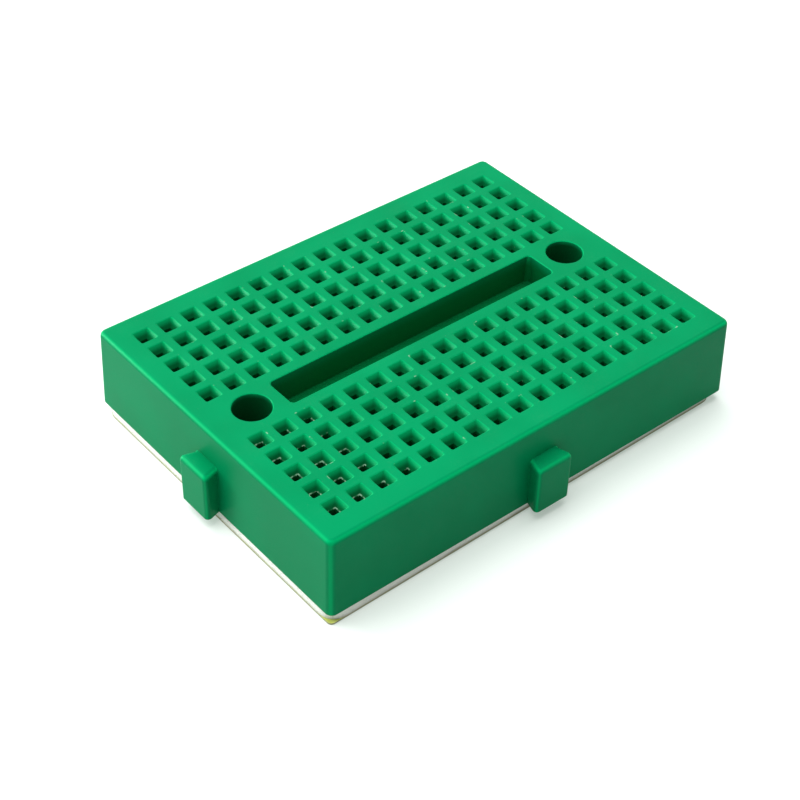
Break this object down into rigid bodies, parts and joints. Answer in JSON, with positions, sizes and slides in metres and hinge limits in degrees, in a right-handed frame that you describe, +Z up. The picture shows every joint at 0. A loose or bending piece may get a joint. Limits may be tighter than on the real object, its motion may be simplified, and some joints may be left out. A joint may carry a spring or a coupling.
{
  "type": "solderless breadboard",
  "caption": "Small solderless breadboard: moulded block of square pin holes over spring contact clips, centre trench, dovetail tabs and sockets, foam tape with a release liner.",
  "frame": {"origin": "on the surface that the board rests on, at the release liner's underside, under the middle of the hole pattern", "axes": "+X along the long side, away from the short side that carries a tab; +Y away from the long side that carries a tab; +Z up, out of the face with the holes"},
  "size_m": [0.0487, 0.0367, 0.0093],
  "materials": {
    "moulded_green": "satin",
    "plated_spring_sheet": "satin",
    "white_foam": "matte",
    "liner_paper": "satin"
  },
  "bodies": {
    "board": {"housing": "moulded_green", "foam_pad": "white_foam", "contact_clip_front_01": "plated_spring_sheet", "contact_clip_front_02": "plated_spring_sheet", "contact_clip_front_03": "plated_spring_sheet", "contact_clip_front_04": "plated_spring_sheet", "contact_clip_front_05": "plated_spring_sheet", "contact_clip_front_06": "plated_spring_sheet", "contact_clip_front_07": "plated_spring_sheet", "contact_clip_front_08": "plated_spring_sheet", "contact_clip_front_09": "plated_spring_sheet", "contact_clip_front_10": "plated_spring_sheet", "contact_clip_front_11": "plated_spring_sheet", "contact_clip_front_12": "plated_spring_sheet", "contact_clip_front_13": "plated_spring_sheet", "contact_clip_front_14": "plated_spring_sheet", "contact_clip_front_15": "plated_spring_sheet", "contact_clip_front_16": "plated_spring_sheet", "contact_clip_front_17": "plated_spring_sheet", "contact_clip_rear_01": "plated_spring_sheet", "contact_clip_rear_02": "plated_spring_sheet", "contact_clip_rear_03": "plated_spring_sheet", "contact_clip_rear_04": "plated_spring_sheet", "contact_clip_rear_05": "plated_spring_sheet", "contact_clip_rear_06": "plated_spring_sheet", "contact_clip_rear_07": "plated_spring_sheet", "contact_clip_rear_08": "plated_spring_sheet", "contact_clip_rear_09": "plated_spring_sheet", "contact_clip_rear_10": "plated_spring_sheet", "contact_clip_rear_11": "plated_spring_sheet", "contact_clip_rear_12": "plated_spring_sheet", "contact_clip_rear_13": "plated_spring_sheet", "contact_clip_rear_14": "plated_spring_sheet", "contact_clip_rear_15": "plated_spring_sheet", "contact_clip_rear_16": "plated_spring_sheet", "contact_clip_rear_17": "plated_spring_sheet"},
    "liner": {"release_liner": "liner_paper"}
  },
  "joints": [
    {"name": "liner_peel", "type": "slide", "parent": "board", "child": "liner", "axis": [0, -1, 0], "range_m": [0, 0.036]}
  ]
}
